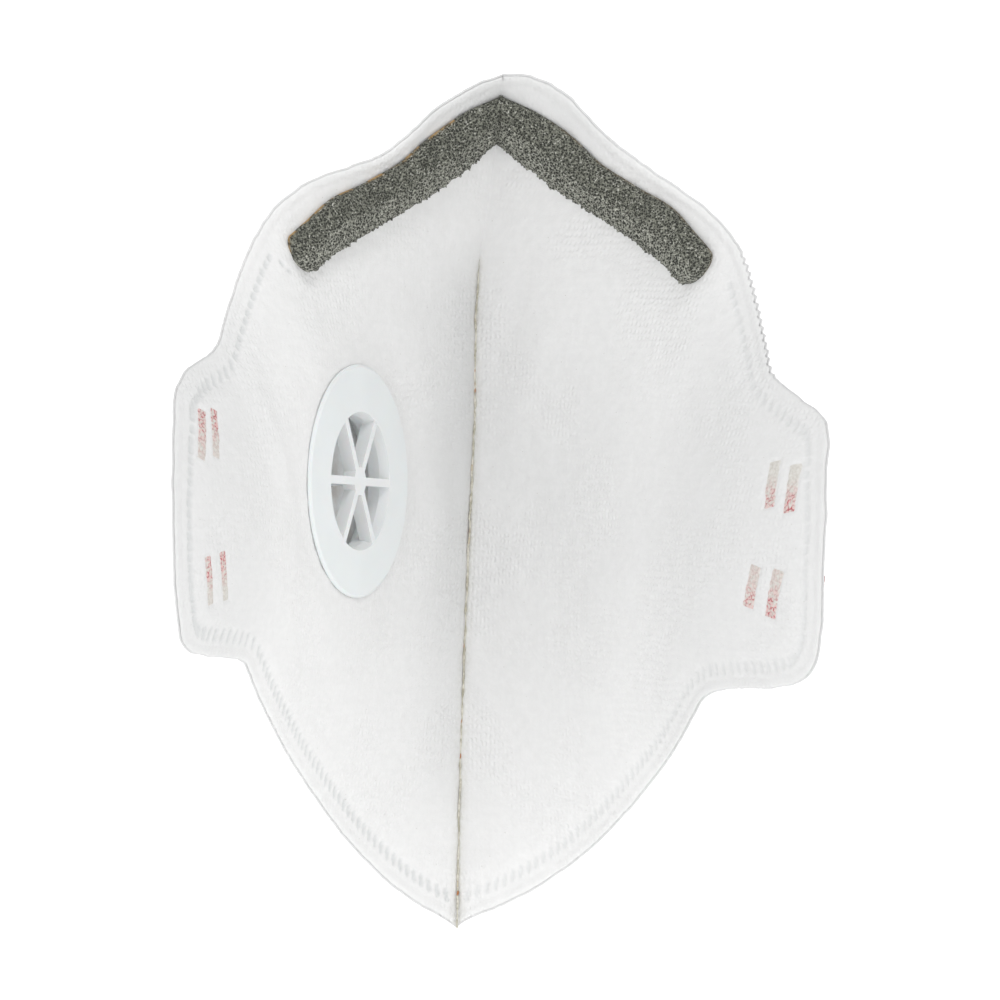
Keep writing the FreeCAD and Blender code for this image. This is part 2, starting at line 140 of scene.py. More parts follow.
def surface(side, s, z):
    """Inner face of the lining; the cloth is held flat round the valve."""
    p = bent(side, s, z)
    if side < 0:
        r = np.hypot(s - VALVE_S, z - VALVE_Z)
        hold = 1.0 - smoothstep(VALVE_FLAT[0], VALVE_FLAT[1], r)
        p = p - VALVE_OUT * (((p - VALVE_POINT) @ VALVE_OUT) * hold)[..., None]
    sway = SWAY * np.exp(-((z - SWAY_Z) / SWAY_HEIGHT) ** 2) * np.exp(-(s / SWAY_DEPTH) ** 2)
    p[..., 0] += sway
    return p


def lifted(side, s, z, d):
    """Point d outside the inner face, away from the wearer; mitred at the ridge."""
    s, z, d = (np.asarray(v, float) for v in (s, z, d))
    mitre = d / np.tan(angle(np.zeros_like(s), z))
    s = s - mitre * (1.0 - smoothstep(0.0, 9.0, s))
    return surface(side, s, z) + normals(surface, side, s, z) * d[..., None]


# ------------------------------------------------------------- small helpers
def through(points, step):
    """Evenly spaced points on a smooth curve through the given ones."""
    p = np.array(points, float)
    q = np.vstack([2 * p[0] - p[1], p, 2 * p[-1] - p[-2]])
    out = []
    for i in range(1, len(q) - 2):
        t = np.linspace(0, 1, 30, endpoint=False)[:, None]
        a, b, c, d = q[i - 1], q[i], q[i + 1], q[i + 2]
        out.append(0.5 * (2 * b + (c - a) * t + (2 * a - 5 * b + 4 * c - d) * t ** 2
                          + (3 * b - a - 3 * c + d) * t ** 3))
    out = np.vstack(out + [p[-1:]])
    length = np.concatenate([[0], np.cumsum(np.linalg.norm(np.diff(out, axis=0), axis=1))])
    at = np.linspace(0, length[-1], max(int(round(length[-1] / step)), 2) + 1)
    return np.stack([np.interp(at, length, out[:, k]) for k in range(out.shape[1])], 1)


def left_of(path):
    """Unit vectors to the left of travel."""
    g = np.gradient(path, axis=0)
    g /= np.linalg.norm(g, axis=1, keepdims=True)
    return np.stack([-g[:, 1], g[:, 0]], 1)


def inside(p, poly):
    """Which points lie in the polygon, by counting the edges that a ray crosses."""
    x, y = p[:, 0][:, None], p[:, 1][:, None]
    b = np.roll(poly, -1, 0)
    cross = (poly[:, 1] > y) != (b[:, 1] > y)
    xi = (b[:, 0] - poly[:, 0]) * (y - poly[:, 1]) / (b[:, 1] - poly[:, 1] + 1e-12) + poly[:, 0]
    return (cross & (x < xi)).sum(1) % 2 == 1


def distance_to(path, pts):
    tree = KDTree(len(path))
    for i, p in enumerate(path):
        tree.insert((p[0], p[1], 0), i)
    tree.balance()
    return np.array([tree.find((p[0], p[1], 0))[2] for p in pts])


def hashed(i, j, k, seed):
    """Fixed random value from 0 to 1 for each whole-numbered place."""
    n = i * 374761393 + j * 668265263 + k * 2147483647 + seed * 1274126177
    n = (n ^ (n >> 13)) * 1274126177
    return ((n ^ (n >> 16)) & 0xFFFFFF) / float(0xFFFFFF)


def grain(p, size, seed=1):
    """Smooth random values from -1 to 1, on cells of the given size."""
    q = np.asarray(p, float) / size
    if q.shape[-1] == 2:
        q = np.concatenate([q, np.zeros(q.shape[:-1] + (1,))], -1)
    base = np.floor(q).astype(np.int64)
    f = q - base
    f = f * f * (3 - 2 * f)
    total = 0.0
    for a in (0, 1):
        for b in (0, 1):
            for c in (0, 1):
                w = (np.abs(1 - a - f[..., 0]) * np.abs(1 - b - f[..., 1])
                     * np.abs(1 - c - f[..., 2]))
                total = total + w * hashed(base[..., 0] + a, base[..., 1] + b,
                                           base[..., 2] + c, seed)
    return total * 2 - 1


def add_mesh(name, verts, faces, mat, uv=None, tint=None):
    me = bpy.data.meshes.new(name)
    me.from_pydata((np.asarray(verts) * MM).tolist(), [], [list(map(int, f)) for f in faces])
    me.polygons.foreach_set("use_smooth", [True] * len(me.polygons))
    loops = np.zeros(len(me.loops), dtype=np.int32)
    me.loops.foreach_get("vertex_index", loops)
    if uv is not None:
        layer = me.uv_layers.new(name="pattern")
        layer.data.foreach_set("uv", np.asarray(uv, np.float32)[loops].ravel())
    if tint is not None:
        attr = me.color_attributes.new("tint", "FLOAT_COLOR", "POINT")
        rgba = np.ones((len(verts), 4), np.float32)
        rgba[:, :tint.shape[1]] = tint
        attr.data.foreach_set("color", rgba.ravel())
    me.materials.append(mat)
    me.update()
    ob = bpy.data.objects.new(name, me)
    bpy.context.scene.collection.objects.link(ob)
    return ob


def quads(rows, cols, closed=False, base=0):
    """Faces of a grid of vertices, row by row; closed joins the last column to the first."""
    out = []
    for i in range(rows - 1):
        for j in range(cols if closed else cols - 1):
            k = (j + 1) % cols
            out.append([base + i * cols + j, base + i * cols + k,
                        base + (i + 1) * cols + k, base + (i + 1) * cols + j])
    return out


def capped_tube(rows, cols):
    """Faces of a tube of rings, with both ends closed."""
    last = (rows - 1) * cols
    ends = [list(range(cols))[::-1], [last + j for j in range(cols)]]
    return quads(rows, cols, closed=True) + ends


def across_fold(ob):
    """The piece spans the ridge; its placement is baked into its mesh."""
    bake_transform(ob)


# ----------------------------------------------------------------- materials
class Nodes:
    """Short way to build a material's node tree."""

    def __init__(self, name):
        self.mat = bpy.data.materials.new(name)
        self.mat.use_nodes = True
        self.tree = self.mat.node_tree
        self.shader = self.tree.nodes["Principled BSDF"]

    def feed(self, socket, value):
        if isinstance(value, bpy.types.NodeSocket):
            self.tree.links.new(value, socket)
        else:
            socket.default_value = value

    def math(self, operation, a, b=0.0, c=0.0):
        node = self.tree.nodes.new("ShaderNodeMath")
        node.operation = operation
        for socket, value in zip(node.inputs, (a, b, c)):
            self.feed(socket, value)
        return node.outputs[0]

    def ramp(self, value, low, high, to_low=0.0, to_high=1.0):
        node = self.tree.nodes.new("ShaderNodeMapRange")
        node.interpolation_type = "SMOOTHSTEP"
        for key, v in (("Value", value), ("From Min", low), ("From Max", high),
                       ("To Min", to_low), ("To Max", to_high)):
            self.feed(node.inputs[key], v)
        return node.outputs["Result"]

    def blend(self, factor, a, b):
        node = self.tree.nodes.new("ShaderNodeMix")
        node.data_type = "RGBA"
        self.feed(node.inputs["Factor"], factor)
        for key, v in ((6, a), (7, b)):
            self.feed(node.inputs[key], (*v, 1) if isinstance(v, tuple) else v)
        return node.outputs[2]

    def noise(self, where, scale, detail=2.0, rough=0.5):
        node = self.tree.nodes.new("ShaderNodeTexNoise")
        self.feed(node.inputs["Vector"], where)
        node.inputs["Scale"].default_value = scale
        node.inputs["Detail"].default_value = detail
        node.inputs["Roughness"].default_value = rough
        return node.outputs["Fac"]

    def cells(self, where, scale, randomness=1.0, feature="F1", flat=False):
        node = self.tree.nodes.new("ShaderNodeTexVoronoi")
        node.feature = feature
        if flat:
            node.voronoi_dimensions = "2D"
        self.feed(node.inputs["Vector"], where)
        node.inputs["Scale"].default_value = scale
        node.inputs["Randomness"].default_value = randomness
        return node

    def mapped(self, where, scale, turn=0.0):
        node = self.tree.nodes.new("ShaderNodeMapping")
        self.feed(node.inputs["Vector"], where)
        node.inputs["Scale"].default_value = scale
        node.inputs["Rotation"].default_value = (0, 0, turn)
        return node.outputs[0]

    def object_space(self):
        return self.tree.nodes.new("ShaderNodeTexCoord").outputs["Object"]

    def pattern_space(self):
        node = self.tree.nodes.new("ShaderNodeUVMap")
        node.uv_map = "pattern"
        return node.outputs[0]

    def split(self, vector):
        node = self.tree.nodes.new("ShaderNodeSeparateXYZ")
        self.feed(node.inputs[0], vector)
        return node.outputs

    def tint(self):
        node = self.tree.nodes.new("ShaderNodeVertexColor")
        node.layer_name = "tint"
        split = self.tree.nodes.new("ShaderNodeSeparateColor")
        self.feed(split.inputs[0], node.outputs[0])
        return split.outputs

    def finish(self, color, rough, height=None, depth=0.0001, strength=1.0, **sockets):
        self.feed(self.shader.inputs["Base Color"],
                  (*color, 1) if isinstance(color, tuple) else color)
        self.feed(self.shader.inputs["Roughness"], rough)
        for key, value in sockets.items():
            self.feed(self.shader.inputs[key.replace("_", " ")], value)
        if height is not None:
            bump = self.tree.nodes.new("ShaderNodeBump")
            bump.inputs["Strength"].default_value = strength
            bump.inputs["Distance"].default_value = depth
            self.feed(bump.inputs["Height"], height)
            self.feed(self.shader.inputs["Normal"], bump.outputs[0])
        return self.mat


def nonwoven(name, base, cool, seam_stain):
    """Spun-bonded cloth: rows of small bond points, loose fibres, soft mottling."""
    n = Nodes(name)
    uv = n.pattern_space()
    wave = n.noise(uv, 0.16, 2.0)
    s, z, _ = n.split(uv)
    drift = n.tree.nodes.new("ShaderNodeCombineXYZ")
    n.feed(drift.inputs[0], s)
    n.feed(drift.inputs[1], n.math("MULTIPLY_ADD", wave, 2.2, z))
    points = n.cells(n.mapped(drift.outputs[0], (0.95, 0.80, 1.0)), 1.0, 0.34, flat=True)
    bond = n.ramp(points.outputs["Distance"], 0.16, 0.44, 1.0, 0.0)
    patch = n.ramp(n.noise(uv, 0.045, 1.0), 0.42, 0.62, 0.22, 1.0)
    fibre = n.noise(n.mapped(uv, (2.6, 7.5, 1.0), 0.12), 1.0, 3.0, 0.6)
    mottle = n.noise(uv, 0.55, 4.0, 0.6)
    color = n.blend(n.ramp(mottle, 0.3, 0.7), tuple(c * 0.965 for c in base), base)
    glint = n.math("MULTIPLY", bond, n.math("MULTIPLY", patch, 0.20))
    color = n.blend(glint, color, (0.93, 0.93, 0.93))
    tint = n.tint()
    color = n.blend(n.math("MULTIPLY", tint[0], 0.75), color, cool)
    if seam_stain:
        near = n.ramp(s, 0.2, 2.4, 1.0, 0.0)
        below = n.ramp(z, SEAM_TOP - 6.0, SEAM_TOP + 3.0, 1.0, 0.0)
        dirt = n.ramp(n.noise(uv, 1.1, 3.0), 0.35, 0.7)
        amount = n.math("MULTIPLY", near, below)
        amount = n.math("MULTIPLY", amount, n.math("MULTIPLY_ADD", dirt, 0.26, 0.05))
        color = n.blend(amount, color, (0.56, 0.55, 0.47))
    fleck = n.cells(n.mapped(uv, (0.22, 0.34, 1.0), 0.5), 1.0, 1.0, flat=True)
    small = n.ramp(fleck.outputs["Distance"], 0.018, 0.036, 1.0, 0.0)
    rare = n.split(fleck.outputs["Color"])
    chance = n.ramp(rare[0], 0.84, 0.86)
    speck = n.math("MULTIPLY", n.math("MULTIPLY", small, chance), 0.40)
    color = n.blend(speck, color, (0.42, 0.39, 0.34))
    # painted shade: grey where the tint's third channel is set (tabs, above the foam, along the
    # crease)
    color = n.blend(tint[2], color, (0.58, 0.585, 0.585))
    height = n.math("ADD", n.math("MULTIPLY", n.math("MULTIPLY", bond, patch), -0.55),
                    n.math("ADD", n.math("MULTIPLY", fibre, 0.55), n.math("MULTIPLY", mottle, 0.9)))
    return n.finish(color, n.ramp(bond, 0.0, 1.0, 0.92, 0.78), height, 0.00020, 0.85,
                    Sheen_Weight=0.12, Sheen_Roughness=0.5)


LINING = nonwoven("lining_nonwoven", (0.865, 0.865, 0.862), (0.69, 0.705, 0.705), True)
COVER = nonwoven("cover_nonwoven", (0.81, 0.81, 0.81), (0.72, 0.735, 0.735), False)


def open_foam():
    """Open cells: pale struts with their pits painted near black as shade in the hollows, darker
    struts on the upper band as painted shade, and a trace of glue at one edge.
    """
    n = Nodes("nose_foam_cells")
    where = n.object_space()
    cell = n.cells(where, 2300.0, 1.0)
    pit = n.ramp(cell.outputs["Distance"], 0.30, 0.66, 1.0, 0.0)
    fine = n.cells(where, 3600.0, 1.0)
    pin = n.ramp(fine.outputs["Distance"], 0.25, 0.60, 1.0, 0.0)
    mix = n.math("MAXIMUM", pit, n.math("MULTIPLY", pin, 0.8))
    tint = n.tint()
    # painted shade: struts darker on the pad's upper band
    strut = n.blend(tint[2], (0.40, 0.405, 0.35), (0.23, 0.235, 0.195))
    glint = n.split(fine.outputs["Color"])
    strut = n.blend(n.ramp(glint[0], 0.86, 0.97), strut, (0.60, 0.60, 0.54))
    # painted shade: pits and fine pores near black
    color = n.blend(mix, strut, (0.030, 0.032, 0.026))
    color = n.blend(n.math("MULTIPLY", tint[0], n.ramp(n.noise(where, 420.0, 2.0), 0.38, 0.52)),
                    color, (0.56, 0.36, 0.15))
    return n.finish(color, 0.95, n.math("SUBTRACT", 0.0, mix), 0.0003, 0.7)


def fused_bar():
    """Strap melted through the cloth: blotches of its red under milky fused fibres."""
    n = Nodes("headband_weld_spots")
    uv = n.pattern_space()
    blot = n.cells(n.mapped(uv, (1.05, 0.95, 1.0)), 1.0, 0.75, flat=True)
    spot = n.ramp(blot.outputs["Distance"], 0.26, 0.60, 1.0, 0.0)
    ring = n.math("MULTIPLY", n.ramp(blot.outputs["Distance"], 0.20, 0.34),
                  n.ramp(blot.outputs["Distance"], 0.44, 0.58, 1.0, 0.0))
    cloud = n.noise(uv, 1.15, 4.0, 0.7)
    tint = n.tint()
    red = n.math("MULTIPLY", n.ramp(cloud, 0.38, 0.60), tint[1])
    milky = n.blend(n.ramp(n.noise(uv, 2.1, 2.0), 0.3, 0.7), (0.60, 0.575, 0.53), (0.69, 0.675, 0.64))
    pink = n.blend(ring, (0.72, 0.44, 0.43), (0.43, 0.055, 0.075))
    color = n.blend(red, milky, pink)
    color = n.blend(tint[0], color, (0.80, 0.79, 0.78))
    return n.finish(color, 0.55, n.math("SUBTRACT", 0.0, spot), 0.00012, 0.8)


RIB_PITCH = 0.85


def elastic():
    """Ribbed red webbing with a little lint."""
    n = Nodes("elastic_webbing")
    uv = n.pattern_space()
    u, v, _ = n.split(uv)
    rib = n.math("SINE", n.math("MULTIPLY", v, 2 * math.pi / RIB_PITCH))
    pick = n.math("SINE", n.math("MULTIPLY", u, 2 * math.pi / 0.62))
    weave = n.math("MULTIPLY", rib, pick)
    color = n.blend(n.ramp(weave, -0.8, 0.9), (0.36, 0.055, 0.060), (0.52, 0.115, 0.115))
    lint = n.ramp(n.noise(uv, 1.8, 3.0), 0.60, 0.75)
    color = n.blend(n.math("MULTIPLY", lint, 0.5), color, (0.66, 0.40, 0.38))
    height = n.math("ADD", rib, n.math("MULTIPLY", weave, 0.7))
    return n.finish(color, 0.8, height, 0.00008, 0.8, Sheen_Weight=0.3)


def moulded(name, base, rough, depth):
    """Moulded plastic with a fine matte grain."""
    n = Nodes(name)
    where = n.object_space()
    fine = n.noise(where, 2600.0, 2.0)
    broad = n.noise(where, 90.0, 2.0)
    color = n.blend(n.ramp(broad, 0.3, 0.7), tuple(c * 0.975 for c in base), base)
    return n.finish(color, n.ramp(fine, 0.3, 0.7, rough - 0.06, rough + 0.06), fine, depth, 0.5,
                    Subsurface_Weight=0.10, Subsurface_Scale=0.002)


def seam_weld():
    """Melted cloth in the crease, with brown specks."""
    n = Nodes("seam_weld")
    where = n.object_space()
    blot = n.noise(where, 620.0, 3.0, 0.6)
    color = n.blend(n.ramp(blot, 0.35, 0.65), (0.42, 0.40, 0.31), (0.72, 0.70, 0.62))
    speck = n.cells(where, 480.0)
    dot = n.ramp(speck.outputs["Distance"], 0.18, 0.34, 1.0, 0.0)
    hue = n.split(speck.outputs["Color"])
    color = n.blend(n.math("MULTIPLY", dot, n.ramp(hue[0], 0.45, 0.6)), color, (0.42, 0.17, 0.06))
    color = n.blend(n.math("MULTIPLY", dot, n.ramp(hue[1], 0.6, 0.7)), color, (0.62, 0.57, 0.44))
    return n.finish(color, 0.7, blot, 0.0002, 0.8)


def clip_metal():
    """Aluminium brushed along its length."""
    n = Nodes("clip_aluminium")
    where = n.object_space()
    brushed = n.noise(n.mapped(where, (300.0, 3000.0, 3000.0)), 1.0, 3.0)
    color = n.blend(brushed, (0.56, 0.57, 0.58), (0.70, 0.71, 0.72))
    return n.finish(color, n.ramp(brushed, 0.3, 0.7, 0.30, 0.45), brushed, 0.00003, 0.5, Metallic=0.9)


def rubber():
    """Milky rubber, a little soiled."""
    n = Nodes("diaphragm_rubber")
    where = n.object_space()
    cloud = n.noise(where, 160.0, 4.0, 0.6)
    color = n.blend(n.ramp(cloud, 0.35, 0.7), (0.80, 0.83, 0.84), (0.66, 0.63, 0.60))
    return n.finish(color, 0.5, cloud, 0.00005, 0.4)


FOAM = open_foam()
BAR = fused_bar()
BAND = elastic()
PLASTIC = moulded("valve_plastic", (0.825, 0.845, 0.849), 0.55, 0.00004)
COVER_PLASTIC = moulded("valve_cover_plastic", (0.80, 0.82, 0.825), 0.42, 0.00003)
SEAM = seam_weld()
METAL = clip_metal()
RUBBER = rubber()

# --------------------------------------------------------- weld marks, relief
EDGE_STEP = 0.35
LIP_REACH = 0.55                # the rounded lip starts this far inside the edge
NEAR_EDGE, NEAR_BAR = 7.2, 0.8  # fine mesh this near the edge and the strap welds
PATTERN_S, PATTERN_Z = (0.45, 107.0), (-80.0, 79.0)   # span of the grids of points
HOLE_POINTS = 110
EDGES = {}
for name, points in OUTLINES.items():
    line = through(points, EDGE_STEP)
    EDGES[name] = line - left_of(line) * OUTLINE_INSET
BARS = {  # ends of each bar on the pattern, red share at the two ends
    "left": [((91.3, 12.6), (95.2, 3.9), 0.95, 0.25), ((88.3, 12.8), (91.3, 4.3), 0.95, 0.15),
             ((96.6, -12.2), (94.4, -20.6), 1.0, 0.1), ((92.3, -11.3), (89.9, -19.8), 0.9, 0.0)],
    "right": [((93.0, 8.4), (94.9, -0.2), 0.0, 0.95), ((88.1, 8.8), (90.0, 0.5), 0.0, 0.75),
              ((94.9, -9.8), (93.1, -18.2), 0.3, 1.1), ((89.1, -9.3), (87.3, -16.7), 0.25, 0.85)],
}
MARK_PITCH, MARK_INSET, MARK_TOP = 1.80, 3.5, 41.0
MARK_STEEP = 0.62               # share of the edge that runs up and down
# last few marks of the welded border, beside the foam: first and last place
END_ROWS = {"left": ((57.7, 39.4), (53.2, 35.0)), "right": ((54.2, 38.4), (58.8, 34.6))}
BAR_ROWS, BAR_COLS = 46, 13     # vertices along and across a bar
BAR_WIDTH = {"left": (1.9, 1.9, 1.9, 1.9), "right": (2.7, 2.7, 3.1, 3.1)}


def weld_marks(name):
    """Centre, half length, half width and direction of each small weld mark."""
    path = EDGES[name]
    away = left_of(path)
    marks = []
    travel = 0.0
    for i in range(1, len(path)):
        travel += float(np.linalg.norm(path[i] - path[i - 1]))
        if travel < MARK_PITCH:
            continue
        s, z = path[i] - away[i] * MARK_INSET
        if s < 2.0 or z > MARK_TOP:
            travel = 0.0
            continue
        steep = abs(away[i][0])
        along = np.array([-away[i][1], away[i][0]])
        if steep > MARK_STEEP:
            way = along
            size = (0.78, 0.47)
        else:
            way = np.array([0.0, 1.0]) + 0.8 * steep * along * np.sign(along[1] + 1e-9)
            size = (1.18 - 0.25 * steep, 0.42)
        way = way / np.linalg.norm(way)
        marks.append((s, z, *size, way[0], way[1]))
        travel = 0.0
    start, stop = (np.array(p) for p in END_ROWS[name])
    way = (stop - start) / np.linalg.norm(stop - start)
    for k in range(4):
        c = start + (stop - start) * k / 3.0
        marks.append((c[0], c[1], 0.62, 0.36, way[0], way[1]))
    return np.array(marks)


def mark_depth(marks, pts):
    """1 in the middle of a weld mark, 0 outside."""
    tree = KDTree(len(marks))
    for i, m in enumerate(marks):
        tree.insert((m[0], m[1], 0), i)
    tree.balance()
    out = np.zeros(len(pts))
    for j, p in enumerate(pts):
        for _, i, gap in tree.find_n((p[0], p[1], 0), 2):
            if gap < 2.2:
                s, z, half_long, half_wide, way_s, way_z = marks[i]
                ds, dz = p[0] - s, p[1] - z
                a = (ds * way_s + dz * way_z) / half_long
                b = (ds * way_z - dz * way_s) / half_wide
                r = (a ** 4 + b ** 4) ** 0.25
                out[j] = max(out[j], min(max((1.25 - r) / 0.45, 0.0), 1.0))
    return out


def bar_gap(name, pts):
    """Distance outside the nearest strap weld, negative inside it."""
    best = np.full(len(pts), 9.0)
    for (top, low, _, _), width in zip(BARS[name], BAR_WIDTH[name]):
        top, low = np.array(top), np.array(low)
        axis = low - top
        half = np.linalg.norm(axis) / 2
        axis = axis / (2 * half)
        rel = pts - (top + low) / 2
        a = np.abs(rel @ axis) - half
        b = np.abs(rel @ np.array([axis[1], -axis[0]])) - width / 2
        best = np.minimum(best, np.maximum(a, b))
    return best


CREASES = {  # soft folds: start, end, width, height towards the wearer
    "left": [((80.0, 30.0), (66.0, -8.0), 3.6, 0.50), ((30.0, 34.5), (2.0, 31.5), 2.4, -0.30),
             ((12.0, 24.0), (2.0, -6.0), 3.2, -0.55), ((16.0, 20.0), (7.0, -6.0), 2.6, 0.45),
             ((62.0, -12.0), (40.0, -34.0), 4.0, 0.30), ((75.0, 16.0), (62.0, 30.0), 3.0, -0.25)],
    "right": [((14.0, 46.0), (3.0, 20.0), 3.0, -0.40), ((20.0, 40.0), (9.0, 12.0), 3.2, 0.35),
              ((60.0, 26.0), (80.0, 14.0), 3.4, -0.25), ((30.0, -20.0), (62.0, -8.0), 5.0, 0.30),
              ((52.0, 30.0), (70.0, 24.0), 2.6, 0.22)],
}


def folds(name, pts):
    """Soft folds of the cloth, positive away from the wearer."""
    d = 0.22 * grain(pts, 15.0, 3) + 0.10 * grain(pts, 6.0, 7)
    for a, b, width, height in CREASES[name]:
        a, b = np.array(a), np.array(b)
        axis = b - a
        t = np.clip(((pts - a) @ axis) / (axis @ axis), 0, 1)
        gap = np.linalg.norm(pts - a - t[:, None] * axis, axis=1)
        fade = np.sin(np.pi * np.clip(t, 0.04, 0.96)) ** 0.6
        d -= height * fade * np.exp(-(gap / width) ** 2)
    if name == "left":
        r = np.hypot(pts[:, 0] - VALVE_S, pts[:, 1] - VALVE_Z)
        d = d * smoothstep(21.5, 26.0, r)
    return d


def lining_depth(name, pts, inset):
    """Depth of the lining's face behind the smooth inner face."""
    wave = folds(name, pts) * smoothstep(3.0, 12.0, inset)
    press = 1.0 - smoothstep(2.2, 7.0, inset)
    quilt = 0.10 * grain(pts, 1.9, 11) * smoothstep(1.0, 5.0, inset)
    crease = (1 - smoothstep(0.0, 2.2, pts[:, 0])) * (1 - smoothstep(44, 50, pts[:, 1]))
    return wave + 0.45 * press + 0.08 * crease + quilt


def painted_shade(name, pts):
    """Painted shade greying the cloth: on the tabs, above the nose foam, and along the crease on the
    valve's side.
    """
    s, z = pts[:, 0], pts[:, 1]
    # painted shade above the nose foam, on both halves
    nose = 0.30 * smoothstep(60.0, 68.0, z)
    if name == "right":
        # painted shade greying the right half towards its tab
        return nose + 0.06 * smoothstep(12.0, 40.0, s) + 0.30 * smoothstep(44.0, 74.0, s)
    low = 1 - smoothstep(34.0, 52.0, z)
    long = smoothstep(-66.0, -42.0, z) * low
    short = smoothstep(-36.0, -14.0, z) * low
    # painted shade along the crease, and in the dip of a fold beside it
    crease = 0.34 * np.exp(-(s / 11.0) ** 2) * long + 0.17 * np.exp(-(s / 30.0) ** 2) * short
    fold_dip_shade = 0.16 * np.exp(-(s / 13.0) ** 2 - ((z - 12.0) / 15.0) ** 2)
    # painted shade on the left tab
    return nose + 0.30 * smoothstep(66.0, 88.0, s) + crease + fold_dip_shade


# -------------------------------------------------------------- cloth sheets
def pattern_points(name, path, rim, grow, fine, coarse):
    """Points inside the pattern, on a fine grid near the edge and the welds."""
    outline = np.vstack([rim, [[0.0, rim[-1, 1]], [0.0, rim[0, 1]]]])
    grids = []
    for gap in (fine, coarse):
        S, Z = np.meshgrid(np.arange(*PATTERN_S, gap), np.arange(*PATTERN_Z, gap))
        Z = Z + np.where(np.arange(S.shape[1]) % 2, gap / 2, 0.0)
        pts = np.stack([S.ravel(), Z.ravel()], 1)
        grids.append(pts[inside(pts, outline)])
    close, wide = grids
    close_in = distance_to(path, close) + grow
    wide_in = distance_to(path, wide) + grow
    near = (close_in < NEAR_EDGE) | (bar_gap(name, close) < NEAR_BAR)
    near &= close_in > LIP_REACH + 0.6 * fine + grow
    far = (wide_in >= NEAR_EDGE) & (bar_gap(name, wide) >= NEAR_BAR)
    return np.vstack([close[near], wide[far]])


def triangulated(start, pts, hole):
    """Flat mesh of the pattern, and where each point of its outline has gone."""
    m = len(start)
    edges = [(i, (i + 1) % m) for i in range(m)]
    verts = start + [tuple(p) for p in pts]
    if hole:
        first = len(verts)
        turn = np.linspace(0, 2 * math.pi, HOLE_POINTS, endpoint=False)
        verts += [(VALVE_S + hole * math.cos(t), VALVE_Z + hole * math.sin(t)) for t in turn]
        edges += [(first + i, first + (i + 1) % HOLE_POINTS) for i in range(HOLE_POINTS)]
    flat, _, tris, origin, _, _ = delaunay_2d_cdt([Vector(v) for v in verts], edges, [], 1, 1e-6)
    flat = np.array([tuple(v) for v in flat])
    centre = np.array([flat[list(t)].mean(0) for t in tris])
    ok = inside(centre, np.array(start))
    if hole:
        ok &= np.hypot(centre[:, 0] - VALVE_S, centre[:, 1] - VALVE_Z) > hole * 0.999
    faces = [list(t) for t, good in zip(tris, ok) if good]
    where = {}
    for i, group in enumerate(origin):
        for o in group:
            where[o] = i
    return flat, faces, where


def relief(name, outer, flat, inset):
    """Depth and tint of each point (weld marks, strap welds and painted shade), and the steps of the
    rounded lip at the edge.
    """
    marks = mark_depth(weld_marks(name), flat)
    marks = marks * (inset < 8.0) * (1.0 if name == "left" else 0.6)
    bars = 1.0 - smoothstep(-0.25, 0.45, bar_gap(name, flat))
    if outer:
        wave = folds(name, flat) * smoothstep(3.0, 12.0, inset)
        press = 1.0 - smoothstep(2.2, 7.0, inset)
        d = LAMINATE + wave - 0.95 * press - 0.25 * marks - 0.35 * bars
        d = d - 0.08 * np.exp(-((inset - 1.2) / 0.35) ** 2)
        lip = [(0.30, -0.03), (0.10, -0.10), (0.0, -0.20), (0.10, -0.32), (0.45, -0.36)]
    else:
        d = lining_depth(name, flat, inset) + 0.32 * marks + 0.32 * bars
        d = d - 0.12 * np.exp(-((inset - 0.75) / 0.45) ** 2)
        d = d + 0.09 * np.exp(-((inset - 1.7) / 0.45) ** 2)
        lip = [(0.30, 0.03), (0.10, 0.10), (0.0, 0.22), (0.06, 0.36), (0.35, 0.42)]
    return d, np.stack([marks, bars, painted_shade(name, flat)], 1), lip


def edge_wobble(name, path):
    """Small waves of the cut edge; the right one is pinked beside the nose."""
    wobble = 0.10 * grain(path, 2.4, 5) + 0.05 * grain(path, 0.9, 9)
    if name == "right":
        saw = np.sin(np.cumsum(np.full(len(path), EDGE_STEP)) * 2 * math.pi / MARK_PITCH)
        zone = smoothstep(58, 62, path[:, 0]) * (1 - smoothstep(78, 81, path[:, 0]))
        wobble = wobble + 0.22 * saw * zone * (path[:, 1] > 20)
    return wobble


